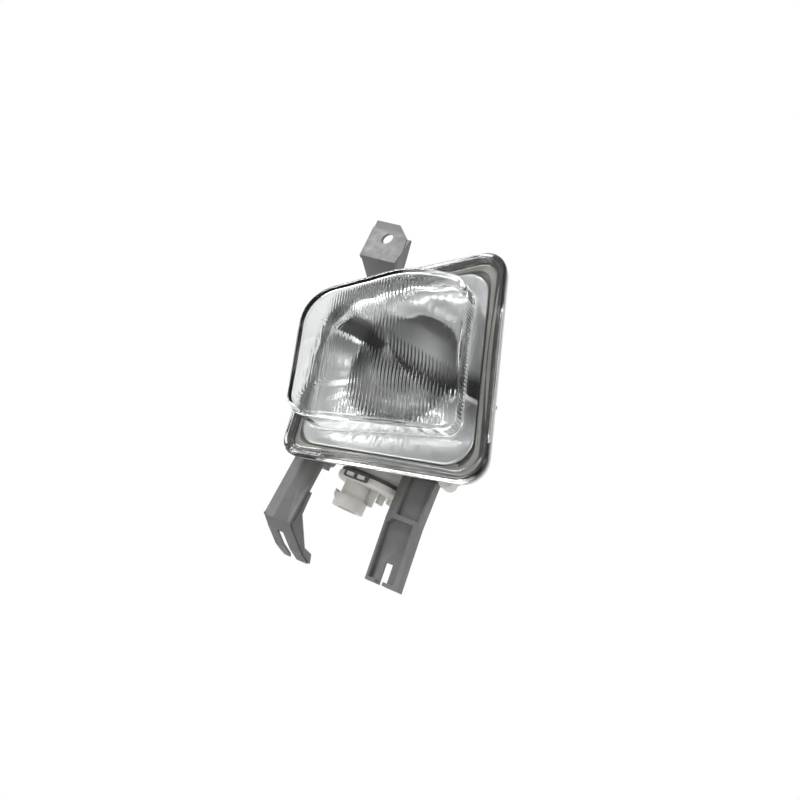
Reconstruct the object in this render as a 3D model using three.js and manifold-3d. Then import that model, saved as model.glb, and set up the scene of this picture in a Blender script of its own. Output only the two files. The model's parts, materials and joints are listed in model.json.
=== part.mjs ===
// Front fog lamp with a skewed glass rim, a D-shaped lens window and a bracket frame.
// Millimetres, +X right, +Y to the back of the lamp, +Z up.
// The shapes are drawn with the glass rim's front in the plane y = 0; the last group then
// moves the whole lamp so that the upper fixing hole is the origin.
import * as THREE from 'three';
import { mergeVertices } from 'three/addons/utils/BufferGeometryUtils.js';
import Module from 'manifold-3d';

const wasm = await Module();
wasm.setup();

// ---------------------------------------------------------------- driving sizes
const GAP = 0.3; // clearance between pieces that touch

const RIM = {
  left: -64.8, // virtual lower left corner
  bottom: -57.2,
  width: 139.8, // lower left to lower right corner
  rise: 23.3, // how much higher the lower right corner is
  rightHeight: 150.2,
  rightLean: 49.5,
  leftHeight: 117,
  leftLean: 20.4,
  radii: [12, 17, 15, 40], // lower left, lower right, upper right, upper left
};

const GLASS = {
  flange: 3.5, // thickness of the rim flange
  wall: 3,
  windowLeftDepth: 36.5, // how far the window stands forward at its left edge
  windowRightDepth: 14.5, // and at its right edge
  // how far the window's corners stand in from the rim's, across and up or down
  lowerLeft: [11.5, 20],
  lowerRight: [26, 23],
  upperRight: [7, 34],
  upperLeft: [9, 22],
  fifthSide: [37, 3], // where the cut-off side starts, from the upper right corner
  radii: [12, 9, 14, 40, 22],
};

const SEAL_T = 2;
const SEAL_WIDTH = 6;

const HOUSING = {
  flange: 3,
  flangeInset: 1, // how far its flange stays inside the glass rim's outline
  wall: 2.5,
  depth: 50, // behind its own flange
};

const SHELL_AXIS = { right: 40.8, up: 77.2 }; // from the rim's lower left corner

// The shell's size as a share of the rim's, at depths behind its own start.
const SHELL_TAPER = [[0, 0.9], [5.9, 0.81], [12.9, 0.75], [18.9, 0.69], [32.9, 0.57], [50.9, 0.42]];

const NECK = { right: 0.5, outer: 20.5, rise: 12 }; // right of the bowl's middle

const CAP = {
  overhang: 2.5, // past the neck
  ahead: 1.1, // of the shell's start, at its front
  band: 4.8,
  floor: 2.5,
  spigotWall: 2,
  spigotDepth: 9,
  sealT: 2.2,
};

const CONNECTOR = {
  left: 5, // of the neck's axis
  front: 8.5, // of the neck's axis
  tubeOuter: 8.3,
  wall: 1.6,
  tubeLength: 9.6,
  collarOuter: 10.4,
  collarLength: 7.8,
};

const BULB = {
  radius: 5.75,
  glassLength: 30,
  baseRadius: 11,
  baseT: 3,
  seatDrop: 5, // below the bowl's lowest point
  socketOuter: 9.4,
};

const CLIP = { wire: 0.8, halfWidth: 7, reach: 26, hingeBack: 14 };

const FRAME = { depth: 32.9, t: 4.5, clearance: 5, width: 8, tabT: 3 };

const PIVOT = { depth: 18.9, pin: 2.5, bush: 4.2, ear: 3.2, earRadius: 6.6 };

// The aim screw's place is measured from the right arm's upper left corner.
const ADJUSTER = {
  right: 20, up: 16.5, screw: 2.5, bore: 3.2, boss: 6, bossDepth: 23.9, nutShank: 4.2,
};

// The mirror bowl is half an ellipsoid of this shape, made as large as the shell allows.
const BOWL = {
  across: 39, deep: 42, up: 38, wall: 1.8, clearance: 0.46,
  ahead: 1.1, // its middle plane lies this far ahead of the shell's start
  right: 4.69, // of the shell's middle
  down: 2.96,
};

const SPIGOT = { left: 14, up: 18, outer: 4, bore: 2, length: 9 }; // breather pipe, from the shell's axis

// The locating lug beside the right arm.
const STOP = { gap: 3.2, width: 9, down: 2, up: 14, depth: 9, radius: 4 };

const LATCH = { left: 9, right: 8, t: 1.8, tabOffsets: [-7, 1], tabWidth: 5 };

const LUG = {
  right: 2.2, // its left edge, from the rim's upper left corner
  up: 32.2, // its crease, from the same corner
  front: 30, // its crease, ahead of the frame
  width: 28.5,
  height: 33,
  lean: 10.3,
  t: 2.6,
  hole: 4,
  holeRight: 11,
  holeUp: 18.6,
};

const LEFT_ARM = { left: 1.2, up: 8.7, front: 30, drop: 47, lean: 10, slot: 4.6, footSlope: 0.75 };

const RIGHT_ARM = {
  capGap: 0.5, // between the access cap's right side and the arm's left
  down: 5.1, // its top, below the rim's lower right corner
  front: 28, // ahead of the frame
  width: 24.8,
  depth: 8,
  wall: 1.8,
  edge: 3.4, // the broad front edge on the pocket's right
  bend: 29, // length above the bend
  length: 69,
};

const SCREW = { shank: 2, head: 3.8, headT: 2.6 };

const SEGMENTS = 36;

// ---------------------------------------------------------------- small tools
const v2 = (x, y) => new THREE.Vector2(x, y);
const v3 = (x, y, z) => new THREE.Vector3(x, y, z);

function solid(geometry) {
  const bare = geometry.clone();
  bare.deleteAttribute('normal');
  bare.deleteAttribute('uv');
  const merged = mergeVertices(bare, 1e-4);
  return new wasm.Manifold(new wasm.Mesh({
    numProp: 3,
    vertProperties: new Float32Array(merged.attributes.position.array),
    triVerts: new Uint32Array(merged.index.array),
  }));
}

function geometryOf(body) {
  const mesh = body.getMesh();
  const geometry = new THREE.BufferGeometry();
  const step = mesh.numProp;
  const points = new Float32Array((mesh.vertProperties.length / step) * 3);
  for (let i = 0; i < points.length / 3; i += 1) {
    points.set(mesh.vertProperties.subarray(i * step, i * step + 3), i * 3);
  }
  geometry.setAttribute('position', new THREE.BufferAttribute(points, 3));
  geometry.setIndex(new THREE.BufferAttribute(new Uint32Array(mesh.triVerts), 1));
  return geometry;
}

const join = (bodies) => bodies.reduce((whole, next) => whole.add(next));

const cut = (body, tools) => tools.reduce((rest, tool) => rest.subtract(tool), body);

// Corners [x, z, radius] to points, each corner rounded by an arc.
function rounded(corners, perQuarter = 6) {
  const points = [];
  const count = corners.length;
  corners.forEach(([x, z, radius], i) => {
    const here = v2(x, z);
    const before = v2(...corners[(i + count - 1) % count]).sub(here).normalize();
    const after = v2(...corners[(i + 1) % count]).sub(here).normalize();
    if (!radius) {
      points.push(here);
      return;
    }
    const half = Math.acos(THREE.MathUtils.clamp(before.dot(after), -1, 1)) / 2;
    const middle = before.clone().add(after).normalize();
    const centre = here.clone().addScaledVector(middle, radius / Math.sin(half));
    const start = here.clone().addScaledVector(before, radius / Math.tan(half)).sub(centre);
    const turn = Math.PI - 2 * half;
    const sign = Math.sign(before.y * after.x - before.x * after.y);
    const steps = Math.max(2, Math.ceil((turn / (Math.PI / 2)) * perQuarter));
    for (let k = 0; k <= steps; k += 1) {
      points.push(start.clone().rotateAround(v2(0, 0), (sign * turn * k) / steps).add(centre));
    }
  });
  return points;
}

// Corners [x, z, radius] of an anticlockwise outline moved inwards by a distance.
function inset(corners, distance) {
  const count = corners.length;
  const lines = corners.map(([x, z], i) => {
    const next = corners[(i + 1) % count];
    const along = v2(next[0] - x, next[1] - z).normalize();
    return { at: v2(x - along.y * distance, z + along.x * distance), along };
  });
  return corners.map(([, , radius], i) => {
    const a = lines[(i + count - 1) % count];
    const b = lines[i];
    const between = b.at.clone().sub(a.at);
    const t = between.cross(b.along) / a.along.cross(b.along);
    const at = a.at.clone().addScaledVector(a.along, t);
    return [at.x, at.y, Math.max(radius - distance, 1)];
  });
}

// A prism whose outline lies in the XZ plane and which runs from y0 to y1.
function frontal(points, y0, y1, steps = 1) {
  const shape = new THREE.Shape(points);
  const geometry = new THREE.ExtrudeGeometry(shape, { depth: y1 - y0, steps, bevelEnabled: false });
  geometry.rotateX(Math.PI / 2);
  geometry.translate(0, y1, 0);
  return geometry;
}

const frontalSolid = (points, y0, y1) => solid(frontal(points, y0, y1));

// A prism whose outline lies in the YZ plane and which runs from x0 to x1.
function sideways(points, x0, x1, move = (point) => point) {
  const shape = new THREE.Shape(points.map(([y, z]) => v2(y, z)));
  const geometry = new THREE.ExtrudeGeometry(shape, { depth: x1 - x0, bevelEnabled: false });
  geometry.applyMatrix4(new THREE.Matrix4().makeBasis(v3(0, 1, 0), v3(0, 0, 1), v3(1, 0, 0)));
  geometry.translate(x0, 0, 0);
  moveEach(geometry, move);
  return solid(geometry);
}

// A prism whose outline lies in the XY plane and which runs from z0 to z1.
function upright(points, z0, z1, move = (point) => point, steps = 1) {
  const shape = new THREE.Shape(points.map(([x, y]) => v2(x, y)));
  const geometry = new THREE.ExtrudeGeometry(shape, { depth: z1 - z0, steps, bevelEnabled: false });
  geometry.translate(0, 0, z0);
  moveEach(geometry, move);
  return solid(geometry);
}

function moveEach(geometry, move) {
  const place = geometry.attributes.position;
  const point = v3(0, 0, 0);
  for (let i = 0; i < place.count; i += 1) {
    move(point.fromBufferAttribute(place, i));
    place.setXYZ(i, point.x, point.y, point.z);
  }
}

function box(x0, x1, y0, y1, z0, z1) {
  const geometry = new THREE.BoxGeometry(x1 - x0, y1 - y0, z1 - z0);
  geometry.translate((x0 + x1) / 2, (y0 + y1) / 2, (z0 + z1) / 2);
  return solid(geometry);
}

// A turned body: profile pairs [radius, height] about +Z, moved to a place.
function turned(profile, x, y, segments = SEGMENTS) {
  const geometry = new THREE.LatheGeometry(profile.map(([r, h]) => v2(r, h)), segments);
  geometry.rotateX(Math.PI / 2);
  geometry.translate(x, y, 0);
  return solid(geometry);
}

function disc(radius, x, y, z0, z1, segments = SEGMENTS) {
  return turned([[0, z0], [radius, z0], [radius, z1], [0, z1]], x, y, segments);
}

// A round bar along X or Y.
function barX(radius, y, z, x0, x1, segments = 24) {
  const geometry = new THREE.CylinderGeometry(radius, radius, x1 - x0, segments);
  geometry.rotateZ(Math.PI / 2);
  geometry.translate((x0 + x1) / 2, y, z);
  return solid(geometry);
}

function barY(radius, x, z, y0, y1, segments = 24) {
  const geometry = new THREE.CylinderGeometry(radius, radius, y1 - y0, segments);
  geometry.translate(x, (y0 + y1) / 2, z);
  return solid(geometry);
}

function tubeAlong(points, radius, steps, sides = 8) {
  const curve = new THREE.CatmullRomCurve3(points.map((p) => v3(...p)), false, 'centripetal');
  const ring = [];
  for (let i = 0; i < sides; i += 1) {
    const angle = (2 * Math.PI * i) / sides;
    ring.push(v2(radius * Math.cos(angle), radius * Math.sin(angle)));
  }
  return new THREE.ExtrudeGeometry(new THREE.Shape(ring), {
    steps, bevelEnabled: false, extrudePath: curve,
  });
}

const FINISH = {
  glass: { color: 0xc9d6d2, roughness: 0.05, metalness: 0 },
  mirror: { color: 0xd8d8d6, roughness: 0.12, metalness: 1 },
  ivory: { color: 0xdad8d0, roughness: 0.5, metalness: 0 },
  grey: { color: 0x9c9c9a, roughness: 0.55, metalness: 0 },
  dark: { color: 0x444442, roughness: 0.6, metalness: 0 },
  rubber: { color: 0x2c2c2a, roughness: 0.8, metalness: 0 },
  steel: { color: 0xb0b2b0, roughness: 0.35, metalness: 1 },
  brass: { color: 0xb8a26a, roughness: 0.35, metalness: 1 },
  sleeve: { color: 0x26282b, roughness: 0.6, metalness: 0 },
};

const lamp = new THREE.Group();

function add(name, body, finish, place = { x: 0, y: 0, z: 0 }) {
  const geometry = body.isBufferGeometry ? body : geometryOf(body);
  const mesh = new THREE.Mesh(geometry, new THREE.MeshStandardMaterial(FINISH[finish]));
  mesh.name = name;
  mesh.position.set(place.x, place.y, place.z);
  lamp.add(mesh);
}

// ---------------------------------------------------------------- shared outlines
const rimCorners = (() => {
  const { left, bottom, width, rise, rightHeight, rightLean, leftHeight, leftLean, radii } = RIM;
  return [
    [left, bottom, radii[0]],
    [left + width, bottom + rise, radii[1]],
    [left + width - rightLean, bottom + rise + rightHeight, radii[2]],
    [left - leftLean, bottom + leftHeight, radii[3]],
  ];
})();

// The window keeps its own margins to the rim's corners, and its upper left side is cut
// off by a fifth, slanting side.
const windowCorners = (() => {
  const [lowLeft, lowRight, highRight, highLeft] = rimCorners;
  const { lowerLeft, lowerRight, upperRight, upperLeft, fifthSide, radii } = GLASS;
  const right = [highRight[0] - upperRight[0], highRight[1] - upperRight[1]];
  return [
    [lowLeft[0] + lowerLeft[0], lowLeft[1] + lowerLeft[1], radii[0]],
    [lowRight[0] - lowerRight[0], lowRight[1] + lowerRight[1], radii[1]],
    [...right, radii[2]],
    [right[0] - fifthSide[0], right[1] - fifthSide[1], radii[3]],
    [highLeft[0] + upperLeft[0], highLeft[1] - upperLeft[1], radii[4]],
  ];
})();

const FLANGE_BACK = GLASS.flange + GAP + SEAL_T + GAP;
const SHELL_START = FLANGE_BACK + HOUSING.flange;
const axis = { x: RIM.left + SHELL_AXIS.right, z: RIM.bottom + SHELL_AXIS.up };

// The shell's section at a depth is the rim outline drawn in towards the shell's axis.
function shellScale(y) {
  const depth = y - SHELL_START;
  for (let i = 1; i < SHELL_TAPER.length; i += 1) {
    const [d0, s0] = SHELL_TAPER[i - 1];
    const [d1, s1] = SHELL_TAPER[i];
    if (depth <= d1 || i === SHELL_TAPER.length - 1) {
      return s0 + ((s1 - s0) * (depth - d0)) / (d1 - d0);
    }
  }
  return 1;
}

function sectionAt(y, distance = 0) {
  const scale = shellScale(y);
  const corners = rimCorners.map(([x, z, radius]) => [
    axis.x + (x - axis.x) * scale,
    axis.z + (z - axis.z) * scale,
    radius * scale,
  ]);
  return inset(corners, distance);
}

function shellBody(y0, y1, distance) {
  const steps = 7;
  const base = rounded(rimCorners);
  const geometry = frontal(base, y0, y1, steps);
  const key = (x, z) => `${x.toFixed(2)},${z.toFixed(2)}`;
  const order = new Map(base.map((p, i) => [key(p.x, p.y), i]));
  const cache = new Map();
  moveEach(geometry, (point) => {
    const y = THREE.MathUtils.clamp(point.y, y0, y1);
    const row = y.toFixed(3);
    if (!cache.has(row)) {
      cache.set(row, rounded(sectionAt(y, distance)));
    }
    const target = cache.get(row)[order.get(key(point.x, point.z))];
    point.set(target.x, point.y, target.y);
  });
  return solid(geometry);
}

// ---------------------------------------------------------------- places
// Lowest and highest value of one coordinate where an outline crosses a line of the other.
function spanOf(points, along, across, at) {
  const hits = [];
  points.forEach((p, i) => {
    const q = points[(i + 1) % points.length];
    if ((p[across] - at) * (q[across] - at) <= 0 && p[across] !== q[across]) {
      const share = (at - p[across]) / (q[across] - p[across]);
      hits.push(p[along] + (q[along] - p[along]) * share);
    }
  });
  return [Math.min(...hits), Math.max(...hits)];
}

const pivot = { y: SHELL_START + PIVOT.depth, z: axis.z };

const bowl = (() => {
  const section = rounded(sectionAt(pivot.y));
  const [left, right] = spanOf(section, 'x', 'y', pivot.z);
  const x = (left + right) / 2 + BOWL.right;
  const [low, high] = spanOf(section, 'y', 'x', x);
  const y = SHELL_START - BOWL.ahead;
  const z = (low + high) / 2 - BOWL.down;
  const clear = HOUSING.wall + BOWL.wall + BOWL.clearance;
  const reaches = [(HOUSING.depth + BOWL.ahead - clear) / BOWL.deep];
  for (let depth = 4; depth < HOUSING.depth; depth += 4) {
    const outline = new THREE.Shape(rounded(sectionAt(SHELL_START + depth, clear)));
    outline.getSpacedPoints(80).forEach((p) => {
      const forward = (depth + BOWL.ahead) / BOWL.deep;
      reaches.push(Math.hypot((p.x - x) / BOWL.across, forward, (p.y - z) / BOWL.up));
    });
  }
  const size = Math.min(...reaches);
  return { x, y, z, rx: BOWL.across * size, ry: BOWL.deep * size, rz: BOWL.up * size };
})();

const seatZ = bowl.z - bowl.rz - BULB.seatDrop;

const capRadius = NECK.outer + CAP.overhang;

const neck = (() => {
  const x = bowl.x + NECK.right;
  const [bottom] = spanOf(rounded(rimCorners), 'y', 'x', x);
  return { x, y: SHELL_START + capRadius - CAP.ahead, bottom, top: seatZ + NECK.rise };
})();

const plug = { x: neck.x - CONNECTOR.left, y: neck.y - CONNECTOR.front };
const hingeY = neck.y + CLIP.hingeBack;
const frameY0 = SHELL_START + FRAME.depth;

const lug = {
  left: rimCorners[3][0] + LUG.right,
  creaseY: frameY0 - LUG.front,
  creaseZ: rimCorners[3][1] + LUG.up,
};

// Each arm's upper left front corner.
const leftArm = {
  x: RIM.left - LEFT_ARM.left,
  y: frameY0 - LEFT_ARM.front,
  z: RIM.bottom + LEFT_ARM.up,
};
const rightArm = {
  x: neck.x + capRadius + RIGHT_ARM.capGap,
  y: frameY0 - RIGHT_ARM.front,
  z: rimCorners[1][1] - RIGHT_ARM.down,
};

const adjuster = {
  x: rightArm.x + ADJUSTER.right,
  z: rightArm.z + ADJUSTER.up,
  bossEnd: SHELL_START + ADJUSTER.bossDepth,
};
const spigot = { x: axis.x - SPIGOT.left, z: axis.z + SPIGOT.up };

// ---------------------------------------------------------------- glass and seal
// A half space on the back side of the window's slanting face, moved back by a distance.
function behindWindowFace(distance) {
  const left = windowCorners[4][0];
  const right = windowCorners[1][0];
  const slope = (GLASS.windowLeftDepth - GLASS.windowRightDepth) / (right - left);
  const yAt = (x) => -GLASS.windowLeftDepth + slope * (x - left) + distance;
  const reach = 40;
  const points = [
    [left - reach, yAt(left - reach)],
    [right + reach, yAt(right + reach)],
    [right + reach, 100],
    [left - reach, 100],
  ];
  return upright(points, -300, 300);
}

function makeLens() {
  const front = -GLASS.windowLeftDepth - 20;
  const flange = frontalSolid(rounded(rimCorners), 0, GLASS.flange);
  const window = frontalSolid(rounded(windowCorners), front, GLASS.flange)
    .intersect(behindWindowFace(0));
  const hollow = frontalSolid(rounded(inset(windowCorners, GLASS.wall)), front, GLASS.flange + 5)
    .intersect(behindWindowFace(GLASS.wall));
  add('lens', flange.add(window).subtract(hollow), 'glass');
}

function makeSeal() {
  const y0 = GLASS.flange + GAP;
  const outer = frontalSolid(rounded(inset(rimCorners, 0.8)), y0, y0 + SEAL_T);
  const inner = frontalSolid(rounded(inset(rimCorners, SEAL_WIDTH)), y0 - 5, y0 + SEAL_T + 5);
  add('lens_seal', outer.subtract(inner), 'rubber');
}

// ---------------------------------------------------------------- lamp body
const neckInner = NECK.outer - HOUSING.wall;
const shellEnd = SHELL_START + HOUSING.depth;

const sideAt = (y) => spanOf(rounded(sectionAt(y)), 'x', 'y', pivot.z);

const BOSS_SIZE = { radius: 5, inside: 0.5, leftOut: 1, rightOut: 1.5, front: 5 };
const bossEnd = {
  left: sideAt(pivot.y - BOSS_SIZE.front)[0] - BOSS_SIZE.leftOut,
  right: sideAt(pivot.y - BOSS_SIZE.front)[1] + BOSS_SIZE.rightOut,
};
const bossRoot = {
  left: sideAt(pivot.y)[0] + HOUSING.wall - BOSS_SIZE.inside,
  right: sideAt(pivot.y)[1] - HOUSING.wall + BOSS_SIZE.inside,
};

function makeHousing() {
  const { y, z } = pivot;
  const flangeOutline = inset(rimCorners, HOUSING.flangeInset);
  const flange = frontalSolid(rounded(flangeOutline), FLANGE_BACK, SHELL_START + 0.01);
  const mouth = frontalSolid(
    rounded(sectionAt(SHELL_START, HOUSING.wall)), FLANGE_BACK - 5, SHELL_START + 0.02);
  const outer = shellBody(SHELL_START, shellEnd, 0);
  const inner = shellBody(SHELL_START, shellEnd - HOUSING.wall, HOUSING.wall);
  const tower = disc(NECK.outer, neck.x, neck.y, neck.bottom, neck.top);
  const towerBore = disc(neckInner, neck.x, neck.y, neck.bottom - 5, neck.top - HOUSING.wall);
  const bosses = [
    barX(BOSS_SIZE.radius, y, z, bossEnd.left, bossRoot.left),
    barX(BOSS_SIZE.radius, y, z, bossRoot.right, bossEnd.right),
  ];
  const pinHoles = [
    barX(PIVOT.pin + GAP, y, z, bossEnd.left - 5, bossRoot.left - 2),
    barX(PIVOT.pin + GAP, y, z, bossRoot.right + 2, bossEnd.right + 5),
  ];
  const { x: nutX, z: nutZ, bossEnd: nutY } = adjuster;
  const nutBoss = barY(ADJUSTER.boss, nutX, nutZ, SHELL_START - 1, nutY);
  const nutHole = barY(ADJUSTER.nutShank + GAP, nutX, nutZ, nutY - 12, nutY + 5);
  const pipe = barY(SPIGOT.outer, spigot.x, spigot.z, shellEnd - 30, shellEnd + SPIGOT.length);
  const pipeBore = barY(SPIGOT.bore, spigot.x, spigot.z, shellEnd - 40, shellEnd + 20);
  const stopLeft = rightArm.x + RIGHT_ARM.width + STOP.gap;
  const stopRight = stopLeft + STOP.width;
  const stop = frontalSolid(rounded([
    [stopLeft, rightArm.z - STOP.down, STOP.radius],
    [stopRight, rightArm.z - STOP.down, STOP.radius],
    [stopRight, rightArm.z + STOP.up, 0],
    [stopLeft, rightArm.z + STOP.up, 0],
  ]), SHELL_START - 1, SHELL_START + STOP.depth);
  let body = join([flange, outer, tower, ...bosses, pipe]);
  body = cut(body, [mouth, inner, towerBore, ...pinHoles]);
  body = join([body, nutBoss, stop]);
  body = cut(body, [nutHole, pipeBore]);
  add('lamp_housing', body, 'ivory');
}

function bowlBody(grow) {
  const geometry = new THREE.SphereGeometry(1, 32, 20);
  geometry.scale(bowl.rx + grow, bowl.ry + grow, bowl.rz + grow);
  geometry.translate(bowl.x, bowl.y, bowl.z);
  return solid(geometry);
}

function makeReflector() {
  const start = FLANGE_BACK;
  const rearHalf = box(-200, 200, start, 200, -200, 200);
  const outer = bowlBody(BOWL.wall).intersect(rearHalf);
  const skirt = frontalSolid(
    rounded(sectionAt(SHELL_START, HOUSING.wall + GAP + 0.4)), start, start + BOWL.wall);
  const socket = disc(BULB.socketOuter + 3, neck.x, neck.y, seatZ, seatZ + 22);
  const bore = disc(BULB.socketOuter, neck.x, neck.y, seatZ - 5, 10);
  const hollow = bowlBody(0).intersect(box(-200, 200, start - 20, 200, -200, 200));
  const hinge = barX(2.2, hingeY, clipZ, neck.x - 5.5, neck.x + 5.5);
  const hingeArm = box(neck.x - 5.5, neck.x + 5.5, neck.y + BULB.baseRadius + 0.5, hingeY,
    clipZ, seatZ + 4);
  const hingeBore = barX(CLIP.wire + 0.4, hingeY, clipZ, neck.x - 20, neck.x + 20, 12);
  let body = join([outer, skirt, socket]).subtract(hollow);
  body = body.subtract(bore);
  body = join([body, hinge, hingeArm]).subtract(hingeBore);
  add('reflector', body, 'mirror');
}

// ---------------------------------------------------------------- bulb and its clip
const clipZ = seatZ - BULB.baseT - GAP - CLIP.wire - 0.3;

function makeBulb() {
  const { x, y } = neck;
  const top = seatZ + BULB.glassLength;
  const glassBottom = seatZ + 1;
  const wall = 1;
  const r = BULB.radius;
  const profile = [[0, glassBottom], [r, glassBottom], [r, top - r]];
  for (let i = 1; i <= 6; i += 1) {
    const angle = (Math.PI / 2) * (i / 6);
    profile.push([i === 6 ? 0 : r * Math.cos(angle), top - r + r * Math.sin(angle)]);
  }
  const glass = turned(profile, x, y, 24);
  const room = disc(r - wall, x, y, glassBottom - 5, top - r, 24);
  add('bulb_envelope', glass.subtract(room), 'glass');

  const baseTop = seatZ - GAP;
  const flange = disc(BULB.baseRadius, x, y, baseTop - BULB.baseT, baseTop, 32);
  const collar = disc(BULB.socketOuter - 1, x, y, baseTop - 1, glassBottom - GAP, 32);
  const stem = disc(r - wall - 0.6, x, y, baseTop, glassBottom + 5, 20);
  const well = disc(r - wall - 1.8, x, y, glassBottom + 2, glassBottom + 20, 20);
  add('bulb_base', join([flange, collar, stem]).subtract(well), 'brass');

  const filamentZ = glassBottom + 14;
  const legBottom = glassBottom + 3;
  const loop = tubeAlong([
    [x - 1.6, y, legBottom], [x - 2, y, legBottom + 5], [x - 2.4, y, filamentZ],
    [x, y, filamentZ + 1.2], [x + 2.4, y, filamentZ], [x + 2, y, legBottom + 5],
    [x + 1.6, y, legBottom],
  ], 0.45, 28, 6);
  add('bulb_filament', solid(loop), 'steel');
}

function makeBulbClip() {
  const { x } = neck;
  const frontY = hingeY - CLIP.reach;
  const w = CLIP.halfWidth;
  const inwards = 4.6;
  const points = [
    [x - inwards + 3, hingeY, clipZ], [x - w + 1.2, hingeY, clipZ],
    [x - w, hingeY - 1.4, clipZ], [x - w, frontY + 8, clipZ],
    [x - w, frontY + 2.4, clipZ], [x - w + 2.4, frontY, clipZ],
    [x + w - 2.4, frontY, clipZ], [x + w, frontY + 2.4, clipZ],
    [x + w, frontY + 8, clipZ], [x + w, hingeY - 1.4, clipZ],
    [x + w - 1.2, hingeY, clipZ], [x + inwards - 3, hingeY, clipZ],
  ];
  add('bulb_clip', solid(tubeAlong(points, CLIP.wire, 48, 6)), 'steel');
}

// ---------------------------------------------------------------- access cap
const capTop = neck.bottom - GAP - CAP.sealT - GAP;
const capBottom = capTop - CAP.band;
const tubeBottom = capBottom - CONNECTOR.tubeLength;
const socketBottom = tubeBottom - CONNECTOR.collarLength;
const latchX = neck.x + 0.5;
const latchY = neck.y - capRadius;
const tabHeights = [capBottom + 1.5, capTop - 0.9];

function makeCap() {
  const { x, y } = neck;
  const c = CONNECTOR;
  const chamfer = 1.5;
  const plate = turned([
    [0, capBottom], [capRadius - chamfer, capBottom], [capRadius, capBottom + chamfer],
    [capRadius, capTop], [0, capTop],
  ], x, y, 56);
  const spigotOuter = neckInner - 0.4;
  const spigot = disc(spigotOuter, x, y, capTop - 1, capTop + CAP.spigotDepth);
  const room = disc(spigotOuter - CAP.spigotWall, x, y, capBottom + CAP.floor, capTop + 20);
  const tube = disc(c.tubeOuter, plug.x, plug.y, tubeBottom - 1, capBottom + 1);
  const collar = disc(c.collarOuter, plug.x, plug.y, socketBottom, tubeBottom);
  const mouth = disc(c.tubeOuter - c.wall, plug.x, plug.y, socketBottom - 5, capBottom - 3);
  const ramp = frontalSolid([
    v2(plug.x - c.collarOuter - 1.6, tubeBottom + 2.4), v2(plug.x - c.collarOuter - 1.6, tubeBottom - 1),
    v2(plug.x - c.collarOuter + 1, tubeBottom - 5), v2(plug.x - c.collarOuter + 1, tubeBottom - 0.5),
  ], plug.y - 3, plug.y + 3);
  const fin = box(plug.x + 5, plug.x + 13.5, plug.y + 2, plug.y + 3.8, tubeBottom - 0.6, capBottom + 1);
  const ribs = [[8, -2.5, 2.6, 6], [14, 0, 1.6, 4], [-12, -8, 1.6, 4]].map(([dx, dy, w, drop]) => (
    box(x + dx, x + dx + w, y + dy, y + dy + 6, capBottom - drop, capBottom + 1)));
  const tabs = LATCH.tabOffsets.map((offset) => (
    box(latchX + offset, latchX + offset + LATCH.tabWidth, latchY - 2.8, latchY + 5, ...tabHeights)));
  const slots = [-1, 1].map((side) => (
    box(plug.x + side * 3.4 - 0.9, plug.x + side * 3.4 + 0.9, plug.y - 2.9, plug.y + 2.9,
      capBottom - 10, capTop + 20)));
  let body = join([plate, spigot]).subtract(room);
  body = join([body, tube, collar, ramp, fin, ...ribs, ...tabs]).subtract(mouth);
  add('access_cap', cut(body, slots), 'ivory');
}

function makeCapSeal() {
  const z0 = capTop + GAP;
  const ring = disc(capRadius - 0.9, neck.x, neck.y, z0, z0 + CAP.sealT, 56);
  const hole = disc(neckInner + 0.1, neck.x, neck.y, z0 - 5, z0 + 10);
  add('cap_seal', ring.subtract(hole), 'rubber');
}

function makeLatch() {
  const y1 = latchY - GAP;
  const y0 = y1 - LATCH.t;
  const plate = frontalSolid(rounded([
    [latchX - LATCH.left, capBottom + 0.4, 1], [latchX + LATCH.right, capBottom + 0.4, 1],
    [latchX + LATCH.right, capTop + 0.7, 1], [latchX - LATCH.left, capTop + 0.7, 1],
  ], 4), y0, y1);
  const windows = LATCH.tabOffsets.map((offset) => (
    box(latchX + offset - GAP, latchX + offset + LATCH.tabWidth + GAP, y0 - 5, y1 + 5,
      tabHeights[0] - GAP, tabHeights[1] + GAP)));
  add('cap_latch', cut(plate, windows), 'dark');
}

function makeTerminals() {
  const names = ['terminal_live', 'terminal_earth'];
  [-1, 1].forEach((side, i) => {
    const x = plug.x + side * 3.4;
    const blade = box(x - 0.4, x + 0.4, plug.y - 2.4, plug.y + 2.4, tubeBottom - 2, capTop + 4);
    add(names[i], blade, 'brass');
  });
}

function makeLeads() {
  const names = ['lead_live', 'lead_earth'];
  const endZ = seatZ - BULB.baseT - GAP * 3;
  const startZ = capTop + 4 + GAP;
  [-1, 1].forEach((side, i) => {
    const points = [
      [plug.x + side * 3.4, plug.y, startZ], [plug.x + side * 3.4, plug.y + 0.6, startZ + 3],
      [neck.x + side * 3.2, neck.y - 5, (startZ + endZ) / 2],
      [neck.x + side * 3, neck.y, endZ - 4], [neck.x + side * 3, neck.y, endZ],
    ];
    add(names[i], solid(tubeAlong(points, 1, 14, 10)), 'sleeve');
  });
}

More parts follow.
